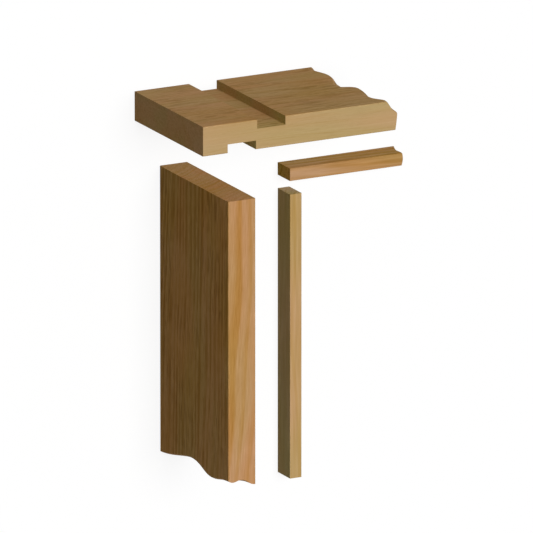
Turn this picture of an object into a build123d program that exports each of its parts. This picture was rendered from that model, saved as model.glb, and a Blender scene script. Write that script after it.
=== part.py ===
from build123d import *
import os

# Corner of a softwood door lining, laid out on its back edges with every piece loose.
# +X runs along the head, +Y up the leg towards the head, and +Z from the back edges on the
# floor to the front edges. The head is trenched on both faces to take the leg's top end.
# The head, the leg and the head stop are cut short by a wavy cut, as in a shortened drawing.

os.makedirs("parts", exist_ok=True)

# Boards, all in mm
board_width = 138.0
board_thickness = 28.0
board_arris = 0.8

# Head
head_length = 201.0
trench_depth = 8.4
trench_clearance = 1.0
trench_shoulder = 25.2
trench_stagger = 1.2

# Leg
leg_length = 279.0

# Stops, two loose strips of one section
stop_thickness = 12.0
stop_width = 25.0
stop_arris = 0.4
leg_stop_length = 272.5
head_stop_length = 121.0

# How far apart the loose pieces lie
head_gap = 46.2
stop_gap = 93.7
leg_stop_drop = 37.1
stop_spacing = 12.8

# Wavy cuts. Each one is an outline across the board's width, carried through its thickness.
# The first number is a share of the width from the back edge, or of the thickness from the
# underside or left face, running a little past both. The second is how far short of the full
# length the cut lies there. The head's cut comes to a tip part way through its thickness.
waste = 20.0
head_wave = [
    (-0.06, 5.2), (0.03, 9.0), (0.09, 10.5), (0.15, 8.2), (0.22, 6.2), (0.3, 7.8), (0.4, 13.8),
    (0.48, 16.6), (0.53, 15.2), (0.555, 8.4), (0.59, 3.4), (0.64, 2.8), (0.74, 5.0), (0.86, 7.2),
    (0.91, 3.8), (0.96, 0.0), (1.0, 1.6), (1.06, 4.4),
]
head_wave_below_tip = [(-0.1, 2.3), (0.1, 1.4), (0.3, 0.6), (0.55, 0.0)]
head_wave_above_tip = [(0.55, 0.0), (0.64, 2.8), (0.76, 6.3), (0.9, 8.8), (1.0, 11.6), (1.1, 16.0)]
leg_wave = [
    (-0.06, -0.3), (0.07, 1.0), (0.2, 4.3), (0.33, 8.1), (0.46, 10.4), (0.56, 9.0), (0.65, 4.8),
    (0.74, 2.3), (0.87, 5.2), (1.0, 7.0), (1.06, 7.6),
]
leg_wave_through = [
    (-0.1, 7.0), (0.0, 6.0), (0.18, 4.2), (0.45, 5.9), (0.62, 4.8), (0.8, 1.4), (1.0, 0.0),
    (1.1, -0.1),
]
head_stop_wave = [
    (-0.06, -0.4), (0.0, 0.0), (0.23, 2.1), (0.48, 4.1), (0.62, 4.6), (0.78, 4.0), (1.0, 4.1),
    (1.06, 4.3),
]
head_stop_wave_through = [
    (-0.1, 2.0), (0.0, 1.4), (0.35, 0.2), (0.65, 0.0), (1.0, 0.8), (1.1, 1.3),
]

# The pieces' places, measured from the leg's outer face and its top end
trench_width = board_thickness + trench_clearance
head_left = -trench_shoulder - trench_clearance / 2
head_under = head_gap
head_top = head_under + board_thickness
lower_trench_left = head_left + trench_shoulder
upper_trench_left = lower_trench_left + trench_width + trench_stagger
stop_left = board_thickness + stop_gap
leg_stop_top = -leg_stop_drop
head_stop_under = leg_stop_top + stop_spacing

# The origin lies under the middle of the whole layout, on the floor
middle_x = (head_left + stop_left + head_stop_length) / 2
middle_y = (head_top + leg_stop_top - leg_stop_length) / 2


def corner(x, y):
    """A point on the floor, given from the leg's outer face and top end."""
    return (x - middle_x, y - middle_y, 0)


def wavy_waste(end, length, width, thickness, wave, wave_through):
    """Sections of the waste past a wavy cut.

    The plane end lies on the board's underside or left face at its square end, with its x
    axis up the board's width and its y axis along the board.
    """
    sections = []
    for share, short_through in wave_through:
        reach = length - short_through
        with BuildSketch(end.offset(share * thickness)) as section:
            with BuildLine():
                cut = Spline([(height * width, reach - short) for height, short in wave])
                Polyline(
                    cut @ 1,
                    ((cut @ 1).X, length + waste),
                    ((cut @ 0).X, length + waste),
                    cut @ 0,
                )
            make_face()
        sections.append(section.sketch)
    return sections


# Head: a board on its back edge, trenched on its underside for the leg and on its top face
# for a leg of the other hand, so that either face can go down
head_end = Plane(origin=corner(head_left, head_under), x_dir=(0, 0, 1), z_dir=(0, 1, 0))
with BuildPart() as head:
    with BuildSketch(Plane(corner(head_left, head_under))):
        Rectangle(head_length + waste, board_thickness, align=(Align.MIN, Align.MIN))
    extrude(amount=board_width)
    fillet(head.edges().filter_by(Axis.X), board_arris)
    with BuildSketch(Plane(corner(lower_trench_left, head_under))):
        Rectangle(trench_width, trench_depth, align=(Align.MIN, Align.MIN))
    with BuildSketch(Plane(corner(upper_trench_left, head_top))):
        Rectangle(trench_width, trench_depth, align=(Align.MIN, Align.MAX))
    extrude(amount=board_width, mode=Mode.SUBTRACT)
    for wave_through in (head_wave_below_tip, head_wave_above_tip):
        loft(
            sections=wavy_waste(
                head_end, head_length, board_width, board_thickness, head_wave, wave_through
            ),
            mode=Mode.SUBTRACT,
        )
head.part.label = "head"
export_step(head.part, "parts/head.step")

# Leg: a board of the head's section with a square top end
leg_end = Plane(origin=corner(0, 0), x_dir=(0, 0, 1), z_dir=(1, 0, 0))
with BuildPart() as leg:
    with BuildSketch(Plane(corner(0, 0))):
        Rectangle(board_thickness, leg_length + waste, align=(Align.MIN, Align.MAX))
    extrude(amount=board_width)
    fillet(leg.edges().filter_by(Axis.Y), board_arris)
    loft(
        sections=wavy_waste(
            leg_end, leg_length, board_width, board_thickness, leg_wave, leg_wave_through
        ),
        mode=Mode.SUBTRACT,
    )
leg.part.label = "leg"
export_step(leg.part, "parts/leg.step")

# Leg stop: a slim strip, square at both ends
with BuildPart() as leg_stop:
    with BuildSketch(Plane(corner(stop_left, leg_stop_top))):
        Rectangle(stop_thickness, leg_stop_length, align=(Align.MIN, Align.MAX))
    extrude(amount=stop_width)
    fillet(leg_stop.edges().filter_by(Axis.Y), stop_arris)
leg_stop.part.label = "leg_stop"
export_step(leg_stop.part, "parts/leg_stop.step")

# Head stop: a short length of the same strip, in line with the leg stop's left face
head_stop_end = Plane(
    origin=corner(stop_left, head_stop_under), x_dir=(0, 0, 1), z_dir=(0, 1, 0)
)
with BuildPart() as head_stop:
    with BuildSketch(Plane(corner(stop_left, head_stop_under))):
        Rectangle(head_stop_length + waste, stop_thickness, align=(Align.MIN, Align.MIN))
    extrude(amount=stop_width)
    fillet(head_stop.edges().filter_by(Axis.X), stop_arris)
    loft(
        sections=wavy_waste(
            head_stop_end,
            head_stop_length,
            stop_width,
            stop_thickness,
            head_stop_wave,
            head_stop_wave_through,
        ),
        mode=Mode.SUBTRACT,
    )
head_stop.part.label = "head_stop"
export_step(head_stop.part, "parts/head_stop.step")
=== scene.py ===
import math

import bpy
from mathutils import Matrix, Vector


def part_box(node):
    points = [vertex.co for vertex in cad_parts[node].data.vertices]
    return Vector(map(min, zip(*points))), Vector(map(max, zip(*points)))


# Corner of a pine door lining, laid out loose on its back edges. The boards keep their solid
# shapes, and each one gets its own cut of pine: growth rings about a pith outside the board,
# with the grain along it. Lengths are in metres, but those inside the pine are in millimetres.

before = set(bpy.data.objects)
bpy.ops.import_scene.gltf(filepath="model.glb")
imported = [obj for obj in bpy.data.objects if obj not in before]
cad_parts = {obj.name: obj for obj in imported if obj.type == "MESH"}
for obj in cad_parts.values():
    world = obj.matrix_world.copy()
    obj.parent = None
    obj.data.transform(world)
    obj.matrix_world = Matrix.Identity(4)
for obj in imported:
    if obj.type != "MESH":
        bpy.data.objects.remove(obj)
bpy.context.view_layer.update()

# Camera, as the photograph was taken: turned to the left of the boards' front edges and tilted
# towards the head's top face, through a long lens. Its reach takes in the floor behind the boards.
PHOTO_WIDTH = 533
PIXELS_PER_METRE = 1090
CAMERA_TURN = math.radians(27.2)
CAMERA_TILT = math.radians(16.0)
CAMERA_DISTANCE = 20.0
CAMERA_REACH = 100.0
PHOTO_CENTRE = Vector((-0.0338, 0.0292, 0.069))

# Light: a soft key from above the front edges, a low even sky, and weak fills along the floor
# that cast no shadow, the strongest of them towards the head's top face
KEY_LEVEL = 2.76
KEY_TILT = math.radians(10)
KEY_SPREAD = math.radians(30)
SKY_LEVEL = 0.10
FILLS = (
    ("fill_head_top", (0.0, 1.0), 0.90),
    ("fill_left", (-1.0, 0.0), 0.18),
    ("fill_right", (1.0, 0.0), 0.24),
    ("fill_foot", (0.0, -1.0), 0.36),
)
FILL_SPREAD = math.radians(40)
FLOOR_SIZE = 60.0
FLOOR_BOUNCE = 0.1
FLOOR_SHADOW_SHARE = 0.16
WHITE = (1.0, 1.0, 1.0, 1.0)

# Each board's pine, with lengths in millimetres:
#   grain     the axis that the grain runs along
#   pith      where the log's pith lies, (through the thickness, across the width)
#   slope     how far the log leans through the thickness for each millimetre along the board
#   spacing   how far apart the growth rings are on average
#   uneven    how far good and bad years shift the rings, in years
#   faint     how dark the faintest rings are, where the darkest are 1
#   cut       how far along its log the board was taken, which gives it a figure of its own
#   end, wide, edge, wall   linear colours of its ends, wide faces and edges, and of trench walls
#   contrast, lines, rings, flecks   how far the whole figure shows, its rings' darkness, their
#             resin, and the resin ducts, each on (the ends, the wide faces, the edges)
#   streak    the size of the long streaks, (along, through, across)
#   fibre     how long the fibres are, and how strongly they show
#   dash      how long the resin ducts are
BOARDS = {
    "head": {
        "grain": "X",
        "pith": (118.0, 40.0),
        "slope": 0.0,
        "spacing": 2.9,
        "uneven": 3.4,
        "faint": 0.15,
        "cut": 110.0,
        "end": (0.500, 0.294, 0.113),
        "wide": (0.480, 0.279, 0.105),
        "edge": (0.480, 0.324, 0.144),
        "wall": (0.445, 0.279, 0.088),
        "contrast": (0.7, 0.8, 0.3),
        "lines": (0.3, 0.2, 0.3),
        "rings": (0.6, 0.4, 0.6),
        "flecks": (0.1, 0.8, 0.15),
        "streak": (65.0, 1.7, 2.5),
        "fibre": (5.0, 1.4),
        "dash": 16.0,
    },
    "leg": {
        "grain": "Y",
        "pith": (-230.0, -161.0),
        "slope": 0.05,
        "spacing": 6.7,
        "uneven": 1.2,
        "faint": 0.45,
        "cut": 3940.0,
        "end": (0.513, 0.282, 0.110),
        "wide": (0.454, 0.243, 0.067),
        "edge": (0.476, 0.259, 0.099),
        "contrast": (1.1, 1.1, 0.8),
        "lines": (0.15, 1.4, 0.4),
        "rings": (0.6, 0.3, 1.2),
        "flecks": (0.0, 0.8, 0.0),
        "streak": (22.0, 1.0, 1.5),
        "fibre": (9.7, 0.9),
        "dash": 26.0,
    },
    "leg_stop": {
        "grain": "Y",
        "pith": (-60.0, -40.0),
        "slope": 0.0,
        "spacing": 2.4,
        "uneven": 3.4,
        "faint": 0.15,
        "cut": 92.0,
        "end": (0.495, 0.361, 0.174),
        "wide": (0.474, 0.352, 0.149),
        "edge": (0.494, 0.310, 0.130),
        "contrast": (1.2, 0.65, 0.65),
        "lines": (0.25, 0.25, 0.25),
        "rings": (0.5, 0.5, 0.5),
        "flecks": (0.0, 0.1, 0.0),
        "streak": (55.0, 2.0, 3.0),
        "fibre": (24.0, 0.9),
        "dash": 30.0,
    },
    "head_stop": {
        "grain": "X",
        "pith": (135.0, -25.0),
        "slope": -0.027,
        "spacing": 7.5,
        "uneven": 3.4,
        "faint": 0.15,
        "cut": 425.0,
        "end": (0.482, 0.276, 0.045),
        "wide": (0.492, 0.280, 0.091),
        "edge": (0.453, 0.265, 0.104),
        "contrast": (1.8, 1.4, 1.1),
        "lines": (0.4, 0.5, 0.4),
        "rings": (0.9, 1.1, 0.8),
        "flecks": (0.0, 0.2, 0.0),
        "streak": (55.0, 2.0, 3.0),
        "fibre": (24.0, 0.9),
        "dash": 30.0,
    },
}

# What a board's colour is multiplied by in its palest and darkest fibres, in its driest and most
# resinous wood, in the two hues of its broad patches, in plain wood, and in a saw mark, a resin
# duct and a trench near the front edge, which turns greener
PALE = (1.12, 1.16, 1.32)
DARK = (0.81, 0.76, 0.60)
DRY = (1.04, 1.08, 1.28)
RESINOUS = (0.95, 0.88, 0.62)
OLIVE = (0.965, 1.015, 0.975)
PINK = (1.035, 0.985, 1.02)
PLAIN = (1.0, 1.0, 1.0)
SCORED = (0.91, 0.93, 0.88)
DUCT = (0.72, 0.67, 0.56)
FRONT_GREENING = (1.0, 1.2, 1.15)

# Sizes of the noise in all the pine, (along, through, across). A fibre and a duct have a section
# alone, because their length is the board's own.
DRIFT_CELL = (210.0, 70.0, 70.0)
RIPPLE_CELL = (46.0, 22.0, 22.0)
PATCH_CELL = (90.0, 45.0, 70.0)
SWARM_CELL = (60.0, 24.0, 40.0)
FADE_CELL = (60.0, 25.0, 25.0)
HUE_CELL = (160.0, 28.0, 28.0)
KERF_CELL = (1.6, 60.0, 2.6)
FIBRE_SECTION = (0.7, 1.2)
DUCT_SECTION = (1.3, 2.2)

# Noise below the first number is taken as 0, and above the second as 1
SWARM_RANGE = (0.36, 0.60)
DUCT_RANGE = (0.54, 0.68)
FADE_RANGE = (0.35, 0.60)
HUE_RANGE = (0.35, 0.65)

# Growth rings: how far they stray from circles in millimetres, slowly and in small waves, how fast
# good and bad years change, the power that makes faint rings the usual ones, and the parts of a
# year from which latewood grows and up to which it darkens
DRIFT = 20.0
RIPPLE = 1.2
WEATHER_RATE = 0.4
STRENGTH_POWER = 1.5
LATE_START = 0.25
LATE_PEAK = 0.75

# The figure: where the ground colour lies between palest and darkest, the rings' mean darkness
# before and after they fade, what fading leaves of a ring, and how strong streaks and patches are
GROUND_LEVEL = 0.45
MEAN_RING = 0.25
MEAN_FADED_RING = 0.14
FADED = 0.1
STREAKING = 1.7
PATCHING = 1.8

# Trenches: how deep below a board's face their floor counts as begun and as reached, where the
# part of the head that holds them fades in and out, measured from its left end, and how far from
# the front edge they turn greener
FLOOR_DEPTH = (1.5, 3.0)
TRENCHES_FROM = (3.0, 6.0)
TRENCHES_TO = (95.0, 100.0)
GREENING_REACH = 45.0

# Surface of the planed wood: how rough it is between fibres and how much rougher on them, and how
# much rings, fibres and saw marks stand up, in metres for the whole
ROUGHNESS = 0.56
FIBRE_ROUGHNESS = 0.16
SPECULAR = 0.02
RING_RELIEF = 0.5
FIBRE_RELIEF = 0.5
BUMP_STRENGTH = 0.25
BUMP_HEIGHT = 0.0002

MM_PER_M = 1000.0


class Graph:
    """Adds nodes to a material or world and links their inputs as it goes."""

    def __init__(self, owner):
        self.owner = owner
        owner.use_nodes = True
        self.tree = owner.node_tree
        self.tree.nodes.clear()

    def node(self, kind, inputs, **settings):
        made = self.tree.nodes.new(kind)
        for name, value in settings.items():
            setattr(made, name, value)
        for name, value in inputs.items():
            socket = made.inputs[name]
            if isinstance(value, bpy.types.NodeSocket):
                self.tree.links.new(value, socket)
            else:
                socket.default_value = value
        return made

    def math(self, operation, a, b=0.0, c=0.0):
        inputs = {0: a, 1: b, 2: c}
        return self.node("ShaderNodeMath", inputs, operation=operation).outputs[0]

    def vector(self, operation, a, b=(0.0, 0.0, 0.0)):
        inputs = {0: a, 1: b}
        return self.node("ShaderNodeVectorMath", inputs, operation=operation).outputs[0]

    def dot(self, a, b):
        inputs = {0: a, 1: b}
        return self.node("ShaderNodeVectorMath", inputs, operation="DOT_PRODUCT").outputs["Value"]

    def scaled(self, colour, factor):
        inputs = {0: colour, "Scale": factor}
        return self.node("ShaderNodeVectorMath", inputs, operation="SCALE").outputs[0]

    def combine(self, x, y, z):
        return self.node("ShaderNodeCombineXYZ", {0: x, 1: y, 2: z}).outputs[0]

    def separate(self, vector):
        return self.node("ShaderNodeSeparateXYZ", {0: vector}).outputs

    def noise(self, place, cell, detail=2.0, roughness=0.5, output="Fac"):
        """Noise about 0.5 in cells of (along, through, across) millimetres."""
        stretched = self.vector("DIVIDE", place, cell)
        inputs = {"Vector": stretched, "Scale": 1.0, "Detail": detail, "Roughness": roughness}
        return self.node("ShaderNodeTexNoise", inputs).outputs[output]

    def ramp(self, value, low, high):
        """0 below low, 1 above high, and smooth between."""
        inputs = {"Value": value, "From Min": low, "From Max": high}
        made = self.node("ShaderNodeMapRange", inputs, interpolation_type="SMOOTHSTEP")
        return made.outputs[0]

    def swing(self, value, amount):
        """Turns noise about 0.5 into amount times as much noise about 0."""
        return self.math("MULTIPLY_ADD", value, amount, -amount / 2)

    def total(self, first, *others):
        for other in others:
            first = self.math("ADD", first, other)
        return first

    def blend(self, factor, a, b):
        """a where factor is 0 and b where it is 1. Vectors have sockets of their own."""
        inputs = {"Factor": factor, 4: a, 5: b}
        return self.node("ShaderNodeMix", inputs, data_type="VECTOR").outputs[1]

    def seen(self):
        """1 where the camera sees a thing straight or in a reflection, 0 where it only lights."""
        path = self.node("ShaderNodeLightPath", {}).outputs
        shown = (path["Is Camera Ray"], path["Is Glossy Ray"], path["Is Transmission Ray"])
        return self.total(*shown)


def board_place(graph, grain):
    """The point and the normal as (along the grain, through the thickness, across the width)."""
    source = graph.node("ShaderNodeTexCoord", {})
    x, y, z = graph.separate(graph.scaled(source.outputs["Object"], MM_PER_M))
    nx, ny, nz = graph.separate(source.outputs["Normal"])
    if grain == "X":
        return graph.combine(x, y, z), graph.combine(nx, ny, nz)
    return graph.combine(y, x, z), graph.combine(ny, nx, nz)


def growth_rings(graph, place, pith, spacing, uneven, faint):
    """How much latewood there is at a point, from 0 to 1."""
    drift = graph.noise(place, DRIFT_CELL, detail=1.0, output="Color")
    ripple = graph.noise(place, RIPPLE_CELL, output="Color")
    moved = graph.vector("ADD", graph.scaled(drift, DRIFT), graph.scaled(ripple, RIPPLE))
    _, through, across = graph.separate(graph.vector("ADD", place, moved))
    through = graph.math("SUBTRACT", through, pith[0])
    across = graph.math("SUBTRACT", across, pith[1])
    squares = graph.math("ADD", graph.math("POWER", through, 2.0), graph.math("POWER", across, 2.0))
    years = graph.math("DIVIDE", graph.math("SQRT", squares), spacing)
    weather = graph.node(
        "ShaderNodeTexNoise",
        {"W": years, "Scale": WEATHER_RATE, "Detail": 1.0},
        noise_dimensions="1D",
    )
    years = graph.math("MULTIPLY_ADD", weather.outputs[0], uneven, years)

    # a year's latewood grows slowly darker and ends at once, and some years have more than others
    season = graph.math("FRACT", years)
    rise = graph.ramp(season, LATE_START, LATE_PEAK)
    fall = graph.math("SUBTRACT", 1.0, graph.ramp(season, LATE_PEAK, 1.0))
    year = graph.math("FLOOR", years)
    growth = graph.node("ShaderNodeTexWhiteNoise", {"W": year}, noise_dimensions="1D")
    strength = graph.math("POWER", growth.outputs[0], STRENGTH_POWER)
    strength = graph.math("MULTIPLY_ADD", strength, 1.0 - faint, faint)
    return graph.math("MULTIPLY", graph.math("MULTIPLY", rise, fall), strength)


def sawn_faces(graph, node, grain, through, ends, wides):
    """Where a saw or cutter left the surface: the ends, and the floors of any trenches."""
    low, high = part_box(node)
    axis = 1 if grain == "X" else 0
    middle = MM_PER_M * (low[axis] + high[axis]) / 2
    half = MM_PER_M * (high[axis] - low[axis]) / 2
    off_middle = graph.math("ABSOLUTE", graph.math("SUBTRACT", through, middle))
    begun, reached = FLOOR_DEPTH
    planed = graph.ramp(off_middle, half - reached, half - begun)
    floors = graph.math("SUBTRACT", 1.0, planed)
    return graph.math("ADD", ends, graph.math("MULTIPLY", wides, floors))


def trench_span(graph, node, along):
    """1 along the part of the head where its trenches lie, 0 before and past it."""
    start = MM_PER_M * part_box(node)[0][0]
    before = graph.ramp(along, *(start + length for length in TRENCHES_FROM))
    past = graph.ramp(along, *(start + length for length in TRENCHES_TO))
    return graph.math("SUBTRACT", before, past)


def pine(
    node,
    grain,
    pith,
    slope,
    spacing,
    uneven,
    faint,
    cut,
    end,
    wide,
    edge,
    contrast,
    lines,
    rings,
    flecks,
    streak,
    fibre,
    dash,
    wall=None,
):
    """A board's matt, planed pine. Only a trenched board has a wall colour."""
    graph = Graph(bpy.data.materials.new(node + "_pine"))
    place, normal = board_place(graph, grain)
    along, through, across = graph.separate(place)

    # how much of the normal points along, through and across says what kind of face it is
    shares = graph.vector("MULTIPLY", normal, normal)
    ends, wides, edges = graph.separate(shares)
    sawn = sawn_faces(graph, node, grain, through, ends, wides)

    # each kind of face has its own ground colour, and trenches turn green near the front edge
    tints = []
    if wall:
        trenched = trench_span(graph, node, along)
        end = graph.blend(trenched, end, wall)
        top = MM_PER_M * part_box(node)[1][2]
        front = graph.ramp(across, top - GREENING_REACH, top)
        front_greening = graph.math("MULTIPLY", graph.math("MULTIPLY", sawn, front), trenched)
        tints.append((front_greening, PLAIN, FRONT_GREENING))
    colour = graph.vector("ADD", graph.scaled(end, ends), graph.scaled(wide, wides))
    colour = graph.vector("ADD", colour, graph.scaled(edge, edges))

    # the place in the log, whose pith leans with the slope
    log = graph.combine(
        graph.math("ADD", along, cut), graph.math("MULTIPLY_ADD", along, -slope, through), across
    )
    late = growth_rings(graph, log, pith, spacing, uneven, faint)

    # darkness: rings that fade here and there, long streaks and fibres
    face_contrast = graph.dot(shares, contrast)
    fade = graph.ramp(graph.noise(log, FADE_CELL, detail=1.0), *FADE_RANGE)
    fade = graph.math("MULTIPLY_ADD", fade, 1.0 - FADED, FADED)
    lined = graph.math("SUBTRACT", graph.math("MULTIPLY", late, fade), MEAN_FADED_RING)
    streaks = graph.noise(log, streak)
    fibre_length, fibre_strength = fibre
    fibres = graph.noise(log, (fibre_length, *FIBRE_SECTION), detail=3.0, roughness=0.6)
    figure = graph.total(
        graph.math("MULTIPLY", lined, graph.dot(shares, lines)),
        graph.swing(streaks, STREAKING),
        graph.swing(fibres, fibre_strength),
    )
    darkness = graph.math("MULTIPLY_ADD", figure, face_contrast, GROUND_LEVEL)

    # resin: the rings again, and broad patches
    ringed = graph.math("SUBTRACT", late, MEAN_RING)
    ringed = graph.math("MULTIPLY", ringed, graph.dot(shares, rings))
    patches = graph.swing(graph.noise(log, PATCH_CELL, detail=1.0), PATCHING)
    resin = graph.total(ringed, patches)
    resin = graph.math("MULTIPLY_ADD", resin, face_contrast, GROUND_LEVEL)

    # hue in broad patches, saw marks, and short dark resin ducts that come in swarms
    hue = graph.ramp(graph.noise(log, HUE_CELL, detail=1.0), *HUE_RANGE)
    scored = graph.math("MULTIPLY", sawn, graph.noise(log, KERF_CELL, roughness=0.6))
    swarm = graph.ramp(graph.noise(log, SWARM_CELL, detail=1.0), *SWARM_RANGE)
    duct = graph.ramp(graph.noise(log, (dash, *DUCT_SECTION), detail=0.0), *DUCT_RANGE)
    fleck = graph.math("MULTIPLY", graph.math("MULTIPLY", duct, swarm), graph.dot(shares, flecks))
    tints += [
        (darkness, PALE, DARK),
        (resin, DRY, RESINOUS),
        (hue, OLIVE, PINK),
        (scored, PLAIN, SCORED),
        (fleck, PLAIN, DUCT),
    ]
    for factor, least, most in tints:
        colour = graph.vector("MULTIPLY", colour, graph.blend(factor, least, most))

    height = graph.total(
        graph.math("MULTIPLY", late, RING_RELIEF),
        graph.math("MULTIPLY", fibres, FIBRE_RELIEF),
        scored,
    )
    bump = graph.node(
        "ShaderNodeBump", {"Height": height, "Strength": BUMP_STRENGTH, "Distance": BUMP_HEIGHT}
    )
    surface = graph.node(
        "ShaderNodeBsdfPrincipled",
        {
            "Base Color": colour,
            "Roughness": graph.math("MULTIPLY_ADD", fibres, FIBRE_ROUGHNESS, ROUGHNESS),
            "Normal": bump.outputs[0],
            "Specular IOR Level": SPECULAR,
        },
    )
    graph.node("ShaderNodeOutputMaterial", {"Surface": surface.outputs[0]})
    return graph.owner


def dress(node, material):
    """Gives a board its pine."""
    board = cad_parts[node]
    for slot in board.material_slots:
        slot.material = material


def floor():
    """A white floor that keeps a pale share of the boards' shadow."""
    graph = Graph(bpy.data.materials.new("white_floor"))
    bounce = graph.node(
        "ShaderNodeBsdfDiffuse", {"Color": (FLOOR_BOUNCE, FLOOR_BOUNCE, FLOOR_BOUNCE, 1.0)}
    )
    lit = graph.node("ShaderNodeBsdfDiffuse", {"Color": WHITE})
    white = graph.node("ShaderNodeEmission", {"Color": WHITE, "Strength": 1.0})
    shown = graph.node(
        "ShaderNodeMixShader", {0: FLOOR_SHADOW_SHARE, 1: white.outputs[0], 2: lit.outputs[0]}
    )
    both = graph.node(
        "ShaderNodeMixShader", {0: graph.seen(), 1: bounce.outputs[0], 2: shown.outputs[0]}
    )
    graph.node("ShaderNodeOutputMaterial", {"Surface": both.outputs[0]})
    bpy.ops.mesh.primitive_plane_add(size=FLOOR_SIZE)
    plane = bpy.context.object
    plane.name = "floor"
    plane.data.materials.append(graph.owner)


def sun(name, towards, level, spread):
    """A lamp far off in the direction towards."""
    lamp = bpy.data.objects.new(name, bpy.data.lights.new(name, "SUN"))
    lamp.data.energy = level
    lamp.data.angle = spread
    lamp.rotation_mode = "QUATERNION"
    lamp.rotation_quaternion = towards.to_track_quat("Z", "Y")
    bpy.context.scene.collection.objects.link(lamp)
    return lamp


def light():
    """A broad key light from above, tilted towards the head, the fills and an even sky."""
    key = sun("key", Vector((0.0, math.sin(KEY_TILT), math.cos(KEY_TILT))), KEY_LEVEL, KEY_SPREAD)
    key.data.use_shadow = True
    for name, (x, y), level in FILLS:
        fill = sun(name, Vector((x, y, 0.0)), level, FILL_SPREAD)
        fill.data.use_shadow = False

    graph = Graph(bpy.data.worlds.new("studio"))
    level = graph.node(
        "ShaderNodeMapRange", {"Value": graph.seen(), "To Min": SKY_LEVEL, "To Max": 1.0}
    )
    sky = graph.node("ShaderNodeBackground", {"Color": WHITE, "Strength": level.outputs[0]})
    graph.node("ShaderNodeOutputWorld", {"Surface": sky.outputs[0]})
    bpy.context.scene.world = graph.owner


def camera():
    """The photograph's camera. Its picture's up is the leg's length."""
    cos_turn, sin_turn = math.cos(CAMERA_TURN), math.sin(CAMERA_TURN)
    cos_tilt, sin_tilt = math.cos(CAMERA_TILT), math.sin(CAMERA_TILT)
    right = Vector((cos_turn, 0.0, sin_turn))
    back = Vector((-sin_turn * cos_tilt, sin_tilt, cos_turn * cos_tilt))
    up = back.cross(right)
    eye = bpy.data.objects.new("camera", bpy.data.cameras.new("camera"))
    eye.data.lens = eye.data.sensor_width * CAMERA_DISTANCE * PIXELS_PER_METRE / PHOTO_WIDTH
    eye.data.clip_end = CAMERA_REACH
    turn = Matrix((right, up, back)).transposed().to_4x4()
    eye.matrix_world = Matrix.Translation(PHOTO_CENTRE + back * CAMERA_DISTANCE) @ turn
    bpy.context.scene.collection.objects.link(eye)
    bpy.context.scene.camera = eye


for name, look in BOARDS.items():
    dress(name, pine(name, **look))
floor()
light()
camera()

bpy.context.scene.view_settings.view_transform = "Standard"
